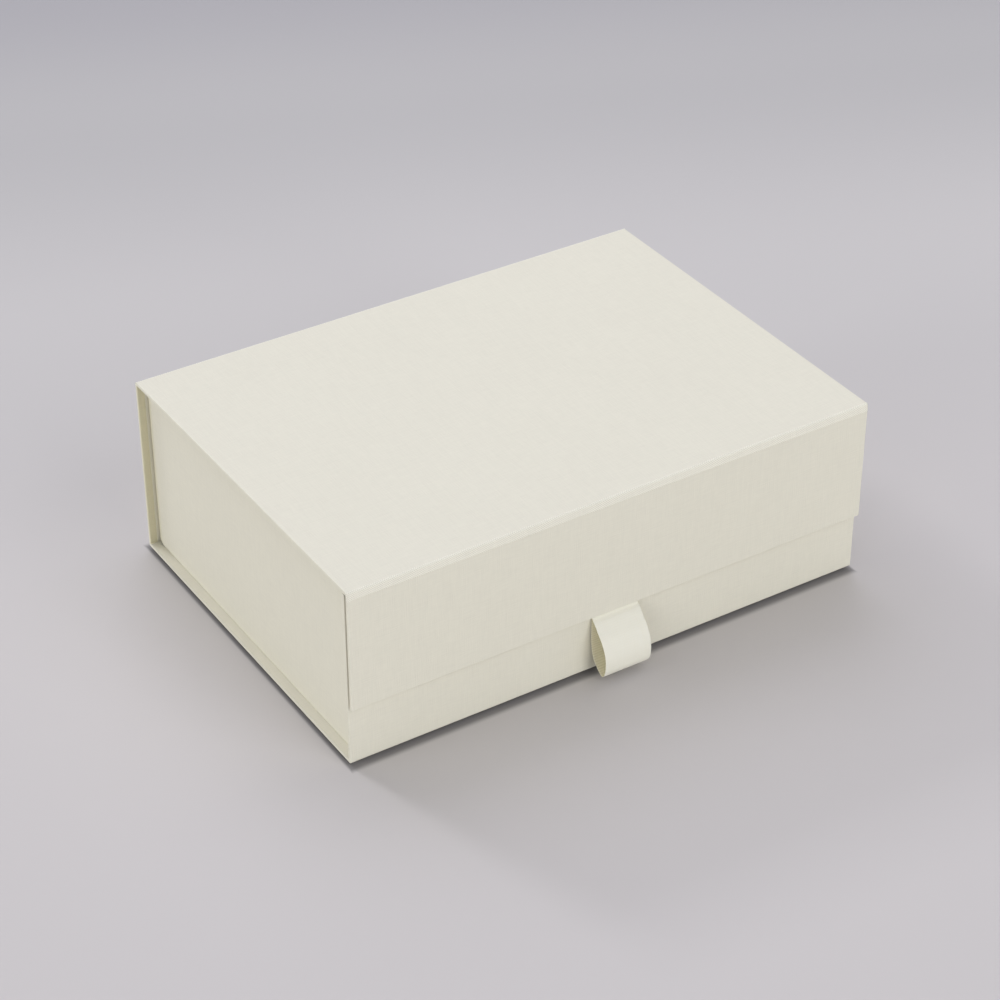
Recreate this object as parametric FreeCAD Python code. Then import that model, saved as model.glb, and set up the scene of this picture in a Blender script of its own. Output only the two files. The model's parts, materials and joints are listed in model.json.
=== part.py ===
# Rigid gift box of wrapped greyboard, in millimetres: a tray, a lid hinged on paper, a flap and a ribbon pull.
# X runs along the width, Y from front to back and Z up; the origin is the centre of the base's underside.
import FreeCAD
import Part
import math
import os

X_AXIS = FreeCAD.Vector(1, 0, 0)
Y_AXIS = FreeCAD.Vector(0, 1, 0)
Z_AXIS = FreeCAD.Vector(0, 0, 1)

# Overall size of the closed case
case_width = 230.0
case_depth = 163.5
case_height = 78.0

# Board and paper
board_thickness = 1.2
paper_thickness = 0.15
turn_in = 18.0
lining_margin = 3.0
lining_gap = 0.1
edge_round = 0.3
cut_overrun = 1.0

# Side walls and the ears that hold them to the front and back walls
side_inset = 3.8
ear_reach = 22.0
ear_turn_in = 8.0
ear_foot_clearance = 0.5
corner_cut_radius = 4.5
tape_thickness = 0.15
tape_height = 50.0
tape_margin = 1.0

# Folds
base_fold_radius = 0.8
foot_fold_radius = 0.5
flap_fold_reach = 1.2
flap_fold_drop = 3.4
flap_fold_radius = 0.9

# Lid and flap
lid_rest_clearance = 0.3
flap_clearance = 0.3
flap_edge_height = 26.0

# Closure
magnet_radius = 5.0
magnet_thickness = 1.0
magnet_clearance = 0.1
magnet_spacing = 140.0
magnet_rise = 16.0

# Ribbon pull
ribbon_width = 20.8
ribbon_thickness = 0.3
ribbon_tail_length = 15.0
ribbon_clearance = 0.15
knuckle_clearance = 0.1
loop_reach = 9.65
loop_floor_clearance = 1.75
pinch_length = 1.9

# Points of the ribbon loop's middle line: forward share of its reach, downward share of its drop
outer_strand_shares = [(0.02, 0.055), (0.20, 0.122), (0.39, 0.215), (0.75, 0.384), (0.96, 0.574), (1.00, 0.800)]
bottom_fold_shares = [(0.91, 0.945), (0.78, 1.000), (0.63, 0.984)]
inner_strand_shares = [(0.36, 0.890), (0.14, 0.764), (0.02, 0.582), (0.0, 0.363)]
loop_side_steps = 40

# Sizes that follow
panel_thickness = board_thickness + 2 * paper_thickness
board_inner_face = paper_thickness + board_thickness
lined_thickness = panel_thickness + paper_thickness
fold_reach = panel_thickness
half_width = case_width / 2
half_depth = case_depth / 2
side_face = half_width - side_inset
ear_face = half_depth - lined_thickness - tape_thickness
wall_top = case_height - lined_thickness - lid_rest_clearance
flange_foot = panel_thickness
side_foot = flange_foot + foot_fold_radius
base_lining_top = lined_thickness + paper_thickness
ear_foot = base_lining_top + ear_foot_clearance
flap_gap = 2 * ribbon_thickness + paper_thickness + flap_clearance
flap_face = half_depth + flap_gap + panel_thickness
flap_top = case_height - flap_fold_drop
lid_front = flap_face - flap_fold_reach
lid_back = half_depth - fold_reach
crease_thickness = 2 * paper_thickness
knuckle_radius = ribbon_thickness
loop_axis_depth = panel_thickness + ribbon_thickness
loop_axis_height = flap_edge_height - knuckle_clearance - knuckle_radius
loop_drop = loop_axis_height - loop_floor_clearance - ribbon_thickness / 2


class Panel:
    """A flat panel: u runs along it, v up or across it, and w in from its outer face."""

    def __init__(self, origin, along, across, inward):
        self.origin = origin
        self.along = along
        self.across = across
        self.inward = inward

    def point(self, u, v, w):
        return self.origin + self.along * u + self.across * v + self.inward * w

    def slab(self, rect, w_low, w_high):
        u_low, u_high, v_low, v_high = rect
        box = FreeCAD.BoundBox()
        box.add(self.point(u_low, v_low, w_low))
        box.add(self.point(u_high, v_high, w_high))
        return Part.makeBox(box.XLength, box.YLength, box.ZLength, FreeCAD.Vector(box.XMin, box.YMin, box.ZMin))

    def disc(self, u, v, radius, w_low, w_high):
        return Part.makeCylinder(radius, w_high - w_low, self.point(u, v, w_low), self.inward)


base_panel = Panel(FreeCAD.Vector(0, 0, 0), X_AXIS, Y_AXIS, Z_AXIS)
lid_panel = Panel(FreeCAD.Vector(0, 0, case_height), X_AXIS, Y_AXIS, -Z_AXIS)
front_panel = Panel(FreeCAD.Vector(0, -half_depth, 0), X_AXIS, Z_AXIS, Y_AXIS)
back_panel = Panel(FreeCAD.Vector(0, half_depth, 0), X_AXIS, Z_AXIS, -Y_AXIS)
flap_panel = Panel(FreeCAD.Vector(0, -flap_face, 0), X_AXIS, Z_AXIS, Y_AXIS)

base_rect = (-half_width, half_width, -half_depth, half_depth)
lid_rect = (-half_width, half_width, -lid_front, lid_back)
front_rect = (-half_width, half_width, fold_reach, wall_top)
back_rect = (-half_width, half_width, fold_reach, case_height - fold_reach)
flap_rect = (-half_width, half_width, flap_edge_height, flap_top)

ENDS = ("u_low", "u_high")
ENDS_AND_TOP = ("u_low", "u_high", "v_high")
ENDS_AND_FOOT = ("u_low", "u_high", "v_low")


def inset(rect, turned, by, elsewhere=0.0):
    """The rectangle moved in by one amount on its turned sides, and out by another on the rest."""
    u_low, u_high, v_low, v_high = rect
    u_low += by if "u_low" in turned else -elsewhere
    u_high -= by if "u_high" in turned else -elsewhere
    v_low += by if "v_low" in turned else -elsewhere
    v_high -= by if "v_high" in turned else -elsewhere
    return (u_low, u_high, v_low, v_high)


def rounded(solid, panel, rect, turned):
    """The panel's outer form with its free edges rounded; the sides that meet a fold stay sharp."""
    u_low, u_high, v_low, v_high = rect
    fold_planes = []
    if "u_low" not in turned:
        fold_planes.append((panel.along, panel.point(u_low, 0, 0)))
    if "u_high" not in turned:
        fold_planes.append((panel.along, panel.point(u_high, 0, 0)))
    if "v_low" not in turned:
        fold_planes.append((panel.across, panel.point(0, v_low, 0)))
    if "v_high" not in turned:
        fold_planes.append((panel.across, panel.point(0, v_high, 0)))

    def lies_in_fold_plane(edge):
        for normal, point in fold_planes:
            gaps = [abs((vertex.Point - point).dot(normal)) for vertex in edge.Vertexes]
            if max(gaps) < edge_round / 2:
                return True
        return False

    free_edges = [edge for edge in solid.Edges if not lies_in_fold_plane(edge)]
    return solid.makeFillet(edge_round, free_edges)


def board(panel, rect, turned):
    """The greyboard inside a wrapped panel."""
    return panel.slab(inset(rect, turned, paper_thickness), paper_thickness, board_inner_face)


def wrap(panel, rect, turned, depth=turn_in):
    """The covering paper: the outer sheet, round the turned edges and a strip glued down inside."""
    form = rounded(panel.slab(rect, 0, panel_thickness), panel, rect, turned)
    hollow = panel.slab(inset(rect, turned, paper_thickness, cut_overrun), paper_thickness, board_inner_face)
    window_rect = inset(rect, turned, depth, cut_overrun)
    window = panel.slab(window_rect, board_inner_face, panel_thickness + cut_overrun)
    return form.cut([hollow, window])


def lining(panel, rect, turned, depth=turn_in, margin=lining_margin, layers=1):
    """The lining paper: flat on the board, stepping up over the layers that are turned in beneath it."""
    step = layers * paper_thickness
    top = board_inner_face + step + paper_thickness
    sheet = panel.slab(inset(rect, turned, margin), board_inner_face, top)
    on_board = inset(rect, turned, depth, cut_overrun)
    beneath = panel.slab(inset(rect, turned, 0, cut_overrun), board_inner_face, board_inner_face + step)
    beneath = beneath.cut(panel.slab(on_board, 0, top + cut_overrun))
    sunk_rect = inset(on_board, turned, paper_thickness)
    sunk = panel.slab(sunk_rect, panel_thickness, top + cut_overrun)
    return sheet.cut([beneath, sunk])


def closure_places():
    """The places of the two closures along the front wall and the flap, as pairs of u and v."""
    height = flap_edge_height + magnet_rise
    return [(-magnet_spacing / 2, height), (magnet_spacing / 2, height)]


def punched(solid, panel, places):
    """A board with its closure holes punched through."""
    hole_radius = magnet_radius + magnet_clearance
    holes = [panel.disc(u, v, hole_radius, 0, panel_thickness) for u, v in places]
    return solid.cut(holes)


def base():
    """Base board, its covering with the two lower folds, and its lining."""
    board_rect = inset(base_rect, ("v_low", "v_high"), fold_reach)
    form = base_panel.slab(base_rect, 0, panel_thickness)
    lower_folds = []
    for edge in form.Edges:
        middle = edge.CenterOfMass
        if abs(middle.x) < edge_round and abs(middle.z) < edge_round:
            lower_folds.append(edge)
    form = form.makeFillet(base_fold_radius, lower_folds)
    end_edges = []
    for edge in form.Edges:
        at_end = all(abs(abs(vertex.X) - half_width) < edge_round / 2 for vertex in edge.Vertexes)
        in_wall_joint = all(abs(abs(vertex.Y) - half_depth) < edge_round / 2 for vertex in edge.Vertexes)
        if at_end and not in_wall_joint:
            end_edges.append(edge)
    form = form.makeFillet(edge_round, end_edges)
    hollow_rect = inset(base_rect, ENDS + ("v_low", "v_high"), paper_thickness)
    hollow = base_panel.slab(hollow_rect, paper_thickness, board_inner_face)
    inner_folds = []
    for edge in hollow.Edges:
        middle = edge.CenterOfMass
        if abs(middle.x) < edge_round and middle.z < panel_thickness / 2:
            inner_folds.append(edge)
    hollow = hollow.makeFillet(base_fold_radius - paper_thickness, inner_folds)
    window_rect = inset(hollow_rect, ENDS, turn_in - paper_thickness)
    window = base_panel.slab(window_rect, board_inner_face, panel_thickness + cut_overrun)
    lining_rect = inset(base_rect, ("v_low", "v_high"), panel_thickness)
    side_lining_face = side_inset + panel_thickness + lining_gap
    return {
        "base_board": base_panel.slab(inset(board_rect, ENDS, paper_thickness), paper_thickness, board_inner_face),
        "base_wrap": form.cut([hollow, window]),
        "base_lining": lining(base_panel, lining_rect, ENDS, margin=side_lining_face, layers=2),
    }


def front_wall():
    """Front wall, with the steel discs that the flap's magnets hold."""
    places = closure_places()
    disc_inner = paper_thickness + magnet_thickness
    discs = [front_panel.disc(u, v, magnet_radius, paper_thickness, disc_inner) for u, v in places]
    lining_rect = (-half_width, half_width, base_lining_top + lining_gap, wall_top)
    return {
        "front_board": punched(board(front_panel, front_rect, ENDS_AND_TOP), front_panel, places),
        "front_wrap": wrap(front_panel, front_rect, ENDS_AND_TOP),
        "front_lining": lining(front_panel, lining_rect, ENDS_AND_TOP),
        "front_steel_discs": Part.makeCompound(discs),
    }


def back_wall():
    """Back wall, whose covering runs on into the lid's crease."""
    lining_rect = (-half_width, half_width, base_lining_top + lining_gap, wall_top)
    return {
        "back_board": board(back_panel, back_rect, ENDS),
        "back_wrap": wrap(back_panel, back_rect, ENDS),
        "back_lining": lining(back_panel, lining_rect, ENDS),
    }


def corner_cut(panel, u_corner, towards, v_foot):
    """The tool that rounds a lower corner of a wall; towards is the way along u from the corner inwards."""
    u_centre = u_corner + towards * corner_cut_radius
    v_centre = v_foot + corner_cut_radius
    u_outside = u_corner - towards * cut_overrun
    tool_rect = (u_outside, u_centre, v_foot - cut_overrun, v_centre)
    tool = panel.slab(tool_rect, -cut_overrun, lined_thickness)
    keep = panel.disc(u_centre, v_centre, corner_cut_radius, -cut_overrun, lined_thickness)
    return tool.cut(keep)


def side_wall(name, hand):
    """One side wall with the ears at its two ends; hand is -1 on the left and 1 on the right."""
    inward = X_AXIS * -hand
    side_panel = Panel(FreeCAD.Vector(hand * side_face, 0, 0), Y_AXIS, Z_AXIS, inward)
    side_rect = (-ear_face + fold_reach, ear_face - fold_reach, side_foot, wall_top)
    board_rect = inset(side_rect, ("v_high",), paper_thickness)
    side_board = side_panel.slab(board_rect, paper_thickness, board_inner_face)
    flange_end = turn_in - side_inset
    flange_reach = ear_face - corner_cut_radius
    flange_top = flange_foot + paper_thickness
    flange = side_panel.slab((-flange_reach, flange_reach, flange_foot, flange_top), foot_fold_radius, flange_end)
    foot_centre = side_panel.point(-flange_reach, side_foot, foot_fold_radius)
    foot_fold = Part.makeCylinder(foot_fold_radius, 2 * flange_reach, foot_centre, Y_AXIS)
    foot_inner_radius = foot_fold_radius - paper_thickness
    foot_fold = foot_fold.cut(Part.makeCylinder(foot_inner_radius, 2 * flange_reach, foot_centre, Y_AXIS))
    foot_rect = (-flange_reach, flange_reach, flange_foot, side_foot)
    foot_fold = foot_fold.common(side_panel.slab(foot_rect, 0, foot_fold_radius))
    covering = [wrap(side_panel, side_rect, ("v_high",)), foot_fold, flange]
    lined_reach = ear_face - board_inner_face
    lining_rect = (-lined_reach, lined_reach, flange_top, wall_top)
    linings = [lining(side_panel, lining_rect, ("v_high",))]
    cuts = []
    nodes = {}
    for end_name, end in (("front", -1), ("back", 1)):
        ear_panel = Panel(FreeCAD.Vector(hand * side_face, end * ear_face, 0), inward, Z_AXIS, Y_AXIS * -end)
        ear_rect = (fold_reach, ear_reach, ear_foot, wall_top)
        turned = ("u_high", "v_high")
        ear_cut = corner_cut(ear_panel, fold_reach, 1, side_foot)
        side_cut = corner_cut(side_panel, end * ear_face, -end, side_foot)
        board_end = end * (ear_face - fold_reach)
        fold_top = wall_top - edge_round
        fold_rect = (board_end, end * ear_face, side_foot, fold_top)
        fold_centre = side_panel.point(board_end, side_foot, fold_reach)
        fold_height = fold_top - side_foot
        fold = Part.makeCylinder(fold_reach, fold_height, fold_centre, Z_AXIS)
        fold = fold.cut(Part.makeCylinder(fold_reach - paper_thickness, fold_height, fold_centre, Z_AXIS))
        covering.append(fold.common(side_panel.slab(fold_rect, 0, fold_reach)))
        inner_fold_rect = (board_end, board_end + end * paper_thickness, wall_top - turn_in, fold_top)
        covering.append(side_panel.slab(inner_fold_rect, board_inner_face, panel_thickness))
        covering.append(wrap(ear_panel, ear_rect, turned, depth=ear_turn_in))
        ear_lining_rect = (board_inner_face, ear_reach, ear_foot, wall_top)
        linings.append(lining(ear_panel, ear_lining_rect, turned, depth=ear_turn_in))
        nodes[name + "_" + end_name + "_ear_board"] = board(ear_panel, ear_rect, turned).cut(ear_cut)
        cuts += [ear_cut, side_cut]
    nodes[name + "_side_board"] = side_board.cut(cuts)
    side_wrap = covering[0].fuse(covering[1:]).cut(cuts).removeSplitter()
    nodes[name + "_side_wrap"] = side_wrap
    nodes[name + "_side_lining"] = linings[0].fuse(linings[1:]).cut(cuts + [side_wrap]).removeSplitter()
    return nodes


def ear_tapes():
    """The four strips of double-sided tape between the ears and the front and back walls."""
    tape_outer = side_face - fold_reach - tape_margin
    tape_inner = half_width - turn_in
    tape_foot = (wall_top - tape_height) / 2
    strips = []
    for panel in (front_panel, back_panel):
        for hand in (-1, 1):
            rect = (hand * tape_outer, hand * tape_inner, tape_foot, tape_foot + tape_height)
            strips.append(panel.slab(rect, lined_thickness, lined_thickness + tape_thickness))
    return {"ear_tapes": Part.makeCompound(strips)}


def lid():
    """Lid panel, open at its front and back ends, where the covering runs into the two creases."""
    return {
        "lid_board": board(lid_panel, lid_rect, ENDS),
        "lid_wrap": wrap(lid_panel, lid_rect, ENDS),
        "lid_lining": lining(lid_panel, lid_rect, ENDS),
    }


def flap():
    """Flap with its magnets and the ribbon's two tails, which its lining bulges over."""
    places = closure_places()
    magnet_outer = board_inner_face - magnet_thickness
    magnets = [flap_panel.disc(u, v, magnet_radius, magnet_outer, board_inner_face) for u, v in places]
    half_ribbon = ribbon_width / 2
    tail_top = flap_edge_height + ribbon_tail_length
    tail_rect = (-half_ribbon, half_ribbon, flap_edge_height, tail_top)
    tails = []
    for layer in (0, 1):
        tail_face = panel_thickness + layer * ribbon_thickness
        tails.append(flap_panel.slab(tail_rect, tail_face, tail_face + ribbon_thickness))
    tails_back = panel_thickness + 2 * ribbon_thickness
    room_side = half_ribbon + ribbon_clearance
    room_rect = (-room_side, room_side, flap_edge_height, tail_top + ribbon_clearance)
    room = flap_panel.slab(room_rect, panel_thickness, tails_back)
    bulge_rect = inset(room_rect, (), 0, paper_thickness)
    bulge_rect = bulge_rect[:2] + (flap_edge_height + lining_margin,) + bulge_rect[3:]
    bulge = flap_panel.slab(bulge_rect, panel_thickness, tails_back + paper_thickness)
    return {
        "flap_board": punched(board(flap_panel, flap_rect, ENDS_AND_FOOT), flap_panel, places),
        "flap_wrap": wrap(flap_panel, flap_rect, ENDS_AND_FOOT),
        "flap_lining": lining(flap_panel, flap_rect, ENDS_AND_FOOT).fuse(bulge).cut(room).removeSplitter(),
        "flap_magnets": Part.makeCompound(magnets),
        "ribbon_tails": Part.makeCompound(tails),
    }


def across_case(wire):
    """A closed outline in the YZ plane, pulled along the whole width of the case."""
    face = Part.Face(wire)
    face.translate(X_AXIS * -half_width)
    return face.extrude(X_AXIS * case_width)


def section_point(y, z):
    return FreeCAD.Vector(0, y, z)


def lid_crease():
    """The bare covering and lining between the back wall and the lid, bent through a quarter turn."""
    centre = section_point(half_depth - fold_reach, case_height - fold_reach)
    inner = fold_reach - crease_thickness
    diagonal = (Y_AXIS + Z_AXIS) * math.sqrt(0.5)
    outer_arc = Part.Arc(centre + Z_AXIS * fold_reach, centre + diagonal * fold_reach, centre + Y_AXIS * fold_reach)
    inner_arc = Part.Arc(centre + Y_AXIS * inner, centre + diagonal * inner, centre + Z_AXIS * inner)
    edges = [
        outer_arc.toShape(),
        Part.makeLine(centre + Y_AXIS * fold_reach, centre + Y_AXIS * inner),
        inner_arc.toShape(),
        Part.makeLine(centre + Z_AXIS * inner, centre + Z_AXIS * fold_reach),
    ]
    return {"lid_crease": across_case(Part.Wire(edges))}


def flap_crease():
    """The crease over the flap: a small round at the lid's front edge, then a band that leans to the flap."""
    centre = section_point(-lid_front, case_height - flap_fold_radius)
    foot = section_point(-flap_face, flap_top)
    to_centre = centre - foot
    lean = math.atan2(to_centre.y, to_centre.z) - math.asin(flap_fold_radius / to_centre.Length)
    outward = section_point(-math.cos(lean), math.sin(lean))
    half_turn = (math.pi / 2 - lean) / 2
    halfway = section_point(-math.sin(half_turn), math.cos(half_turn))
    inner = flap_fold_radius - crease_thickness
    outer_end = centre + outward * flap_fold_radius
    inner_end = centre + outward * inner
    inner_drop = inner_end.z - foot.z
    inner_foot = section_point(inner_end.y - inner_drop * math.tan(lean), foot.z)
    outer_arc = Part.Arc(centre + Z_AXIS * flap_fold_radius, centre + halfway * flap_fold_radius, outer_end)
    inner_arc = Part.Arc(inner_end, centre + halfway * inner, centre + Z_AXIS * inner)
    edges = [
        outer_arc.toShape(),
        Part.makeLine(outer_end, foot),
        Part.makeLine(foot, inner_foot),
        Part.makeLine(inner_foot, inner_end),
        inner_arc.toShape(),
        Part.makeLine(centre + Z_AXIS * inner, centre + Z_AXIS * flap_fold_radius),
    ]
    return {"flap_crease": across_case(Part.Wire(edges))}


def ribbon_loop():
    """The ribbon's free loop: two strands from a pinched top, the outer one bowed well forward."""
    axis = section_point(-flap_face + loop_axis_depth, loop_axis_height)
    strand_offset = ribbon_thickness / 2

    def placed(shares, offset):
        points = []
        for forward, down in shares:
            points.append(axis + section_point(-forward * loop_reach - offset, -down * loop_drop))
        return points

    path = [axis - Y_AXIS * strand_offset]
    path += placed(outer_strand_shares, 0.0)
    path += placed(bottom_fold_shares, 0.0)
    path += placed(inner_strand_shares, -strand_offset)
    path += [axis + Y_AXIS * strand_offset]
    middle = Part.BSplineCurve()
    middle.interpolate(path, False)

    def side(distance):
        points = []
        for step in range(loop_side_steps + 1):
            share = step / loop_side_steps
            at = middle.FirstParameter + share * (middle.LastParameter - middle.FirstParameter)
            along = middle.tangent(at)[0]
            points.append(middle.value(at) + section_point(along.z, -along.y) * distance)
        return points

    outside = side(strand_offset)
    inside = [point for point in side(-strand_offset) if axis.z - point.z > pinch_length]
    outside[0] = axis - Y_AXIS * ribbon_thickness
    outside[-1] = axis + Y_AXIS * ribbon_thickness
    outer_curve = Part.BSplineCurve()
    outer_curve.interpolate(outside, False)
    inner_curve = Part.BSplineCurve()
    inner_curve.interpolate(inside, False)
    knuckle = Part.Arc(outside[-1], axis + Z_AXIS * knuckle_radius, outside[0])
    outline = Part.Wire([outer_curve.toShape(), knuckle.toShape()])
    opening = Part.Wire([inner_curve.toShape(), Part.makeLine(inside[-1], inside[0])])
    section = Part.Face(outline).cut(Part.Face(opening))
    section.translate(X_AXIS * (-ribbon_width / 2))
    return {"ribbon_loop": section.extrude(X_AXIS * ribbon_width)}


def main():
    os.makedirs("parts", exist_ok=True)
    nodes = {}
    nodes.update(base())
    nodes.update(front_wall())
    nodes.update(back_wall())
    nodes.update(side_wall("left", -1))
    nodes.update(side_wall("right", 1))
    nodes.update(ear_tapes())
    nodes.update(lid())
    nodes.update(lid_crease())
    nodes.update(flap())
    nodes.update(flap_crease())
    nodes.update(ribbon_loop())
    for name, shape in nodes.items():
        shape.exportStep("parts/" + name + ".step")


main()
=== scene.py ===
"""Looks of a wrapped gift box with a hinged lid, a hanging flap and a ribbon pull.

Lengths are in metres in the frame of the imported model: X along the width, Y from
front to back, Z up, with the origin under the centre of the base.
"""
import json
import logging
import math
from dataclasses import dataclass, field
from enum import Enum
from functools import reduce

import bmesh
import bpy
from mathutils import Matrix, Vector


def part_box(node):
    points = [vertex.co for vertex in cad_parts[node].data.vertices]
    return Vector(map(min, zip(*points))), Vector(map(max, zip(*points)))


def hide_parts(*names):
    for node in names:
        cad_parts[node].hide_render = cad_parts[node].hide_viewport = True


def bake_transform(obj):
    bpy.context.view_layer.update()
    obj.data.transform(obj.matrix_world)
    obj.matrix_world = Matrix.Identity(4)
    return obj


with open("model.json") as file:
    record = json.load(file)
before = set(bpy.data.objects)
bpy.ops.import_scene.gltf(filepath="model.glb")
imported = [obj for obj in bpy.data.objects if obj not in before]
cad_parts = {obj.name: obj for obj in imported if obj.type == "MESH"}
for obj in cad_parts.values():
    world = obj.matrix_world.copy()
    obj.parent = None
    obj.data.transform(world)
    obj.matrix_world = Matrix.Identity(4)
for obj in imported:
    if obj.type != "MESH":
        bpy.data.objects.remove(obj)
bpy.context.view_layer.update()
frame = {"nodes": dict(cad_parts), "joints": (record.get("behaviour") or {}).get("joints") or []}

LOG = logging.getLogger("gift_box")
MM = 0.001
SHEET_UV = "sheet"
BACK_OF_RIBBON = "back_of_ribbon"

Colour = tuple[float, float, float]
Place = tuple[float, float, float]
Pair = tuple[float, float]
Socket = bpy.types.NodeSocket
Node = bpy.types.Node


def srgb(red: float, green: float, blue: float) -> Colour:
    """Turns a given colour into the linear values that a shader takes.

    Args:
        red: Red from 0 to 255.
        green: Green from 0 to 255.
        blue: Blue from 0 to 255.

    Returns:
        The three linear values, from 0 to 1.
    """
    shares = (red / 255, green / 255, blue / 255)
    return tuple(s / 12.92 if s <= 0.04045 else ((s + 0.055) / 1.055) ** 2.4 for s in shares)


def shaded(colour: Colour, share: float) -> Colour:
    """The same colour with all its values multiplied by a share."""
    return tuple(value * share for value in colour)


def put(name: str, data: bpy.types.ID) -> bpy.types.Object:
    """Puts a new object into the scene.

    Args:
        name: Its name.
        data: Its mesh, curve, lamp or camera.

    Returns:
        The object.
    """
    made = bpy.data.objects.new(name, data)
    bpy.context.scene.collection.objects.link(made)
    return made


COVER_COLOUR = srgb(226.5, 223, 205)


class NodeSketch:
    """Adds nodes to one tree, each with its values and links in a single call."""

    def __init__(self, tree: bpy.types.NodeTree) -> None:
        """Starts on an empty tree."""
        self.tree = tree
        tree.nodes.clear()

    def add(self, kind: str, sockets: dict | None = None, **settings: object) -> Node:
        """Adds one node.

        Args:
            kind: The node's type, such as ShaderNodeBump.
            sockets: What goes into its inputs, by name or number: a value, a colour or an output.
            **settings: The node's own properties.

        Returns:
            The new node.
        """
        node = self.tree.nodes.new(kind)
        for name, value in settings.items():
            setattr(node, name, value)
        for key, value in (sockets or {}).items():
            if isinstance(value, Socket):
                self.tree.links.new(value, node.inputs[key])
            else:
                is_colour = node.inputs[key].type == "RGBA"
                node.inputs[key].default_value = (*value, 1) if is_colour else value
        return node

    def math(self, operation: str, *values: object) -> Socket:
        """The result of a Math node, whose inputs are numbers or outputs."""
        sockets = dict(enumerate(values))
        return self.add("ShaderNodeMath", sockets, operation=operation).outputs[0]

    def product(self, *values: object) -> Socket:
        """The product of two or more inputs."""
        return reduce(lambda first, second: self.math("MULTIPLY", first, second), values)

    def total(self, *values: object) -> Socket:
        """The sum of two or more inputs."""
        return reduce(lambda first, second: self.math("ADD", first, second), values)

    def between(self, share: object, limits: Pair) -> Socket:
        """A value between two limits, from its share of the way."""
        return self.math("MULTIPLY_ADD", share, limits[1] - limits[0], limits[0])

    def smooth(
        self, value: object, low: object, high: object, to_low: float = 0.0, to_high: float = 1.0
    ) -> Socket:
        """A smooth step from one value to another.

        Args:
            value: The input that is stepped.
            low: Where the step starts.
            high: Where it ends.
            to_low: The result below the step.
            to_high: The result above the step.

        Returns:
            The stepped value's output.
        """
        sockets = {"Value": value, "From Min": low, "From Max": high, "To Min": to_low, "To Max": to_high}
        return self.add("ShaderNodeMapRange", sockets, interpolation_type="SMOOTHSTEP").outputs["Result"]

    def noise(self, vector: object, size: object, detail: float = 2.0, seed: float = 0.0) -> Socket:
        """Noise whose blotches have a real size.

        Args:
            vector: Where it is read, in metres.
            size: The rough size of a blotch, in metres: a number or an output.
            detail: How many finer layers lie on it.
            seed: Which noise it is.

        Returns:
            The noise, from 0 to 1.
        """
        scale = self.math("DIVIDE", 1.0, size) if isinstance(size, Socket) else 1 / size
        sockets = {"Vector": vector, "W": seed, "Scale": scale, "Detail": detail, "Roughness": 0.5}
        return self.add("ShaderNodeTexNoise", sockets, noise_dimensions="4D").outputs[0]

    def place(self) -> Socket:
        """Where a point lies on its piece."""
        return self.add("ShaderNodeTexCoord").outputs["Object"]

    def axes(self, vector: object) -> bpy.types.bpy_prop_collection:
        """A vector's values, named X, Y and Z."""
        return self.add("ShaderNodeSeparateXYZ", {0: vector}).outputs

    def vector(self, **axes: object) -> Socket:
        """A vector from its values named X, Y and Z, of which any that is left out is zero."""
        return self.add("ShaderNodeCombineXYZ", axes).outputs[0]

    def stretched(self, vector: object, factors: Place) -> Socket:
        """A vector or colour, multiplied value by value."""
        return self.add("ShaderNodeVectorMath", {0: vector, 1: factors}, operation="MULTIPLY").outputs[0]

    def scaled(self, vector: object, share: object) -> Socket:
        """A vector or colour with all its values multiplied by one share."""
        return self.add("ShaderNodeVectorMath", {0: vector, "Scale": share}, operation="SCALE").outputs[0]

    def mixed(self, share: object, first: object, second: object) -> Socket:
        """A mix of two colours, with a share of the second one from 0 to 1."""
        sockets = {"Factor": share, 6: first, 7: second}
        return self.add("ShaderNodeMix", sockets, data_type="RGBA").outputs[2]

    def bump(self, height: object, distance: float) -> Socket:
        """The normal of a surface with a fine relief."""
        sockets = {"Height": height, "Distance": distance, "Strength": 1.0}
        return self.add("ShaderNodeBump", sockets).outputs[0]

    def surface(self, colour: object, roughness: object, others: dict) -> Node:
        """The shader of a surface, with its other inputs by name."""
        sockets = {"Base Color": colour, "Roughness": roughness, **others}
        return self.add("ShaderNodeBsdfPrincipled", sockets)

    def marked(self, geometry: object, name: str, value: object, **settings: str) -> Socket:
        """Geometry that carries a value as one more attribute, of a data type and on a domain."""
        sockets = {"Geometry": geometry, "Name": name, "Value": value}
        return self.add("GeometryNodeStoreNamedAttribute", sockets, **settings).outputs[0]

    def moved(self, geometry: object, **sockets: object) -> Socket:
        """Geometry whose points are moved to a Position or by an Offset."""
        return self.add("GeometryNodeSetPosition", {"Geometry": geometry, **sockets}).outputs[0]


class ThreadRun(Enum):
    """Which way the pressed threads of a sheet run over the piece that it covers."""

    ROUND_CASE = "along X, and round the case over base, back, lid and flap"
    ROUND_WALLS = "upright, and level round the side walls and their ears"
    ON_SHEET = "along the piece's own UV map, whose unit is a metre"


def sheet_place(sketch: NodeSketch, run: ThreadRun) -> Socket:
    """Where a point lies on its sheet of paper.

    Args:
        sketch: The material's tree.
        run: How the sheet lies on the piece.

    Returns:
        A vector: across the sheet, along the sheet, and zero, in metres.
    """
    if run is ThreadRun.ON_SHEET:
        return sketch.add("ShaderNodeUVMap", uv_map=SHEET_UV).outputs["UV"]
    axes = sketch.axes(sketch.place())
    if run is ThreadRun.ROUND_CASE:
        return sketch.vector(X=axes["X"], Y=sketch.total(axes["Y"], axes["Z"]))
    return sketch.vector(X=sketch.total(axes["X"], axes["Y"]), Y=axes["Z"])


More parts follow.
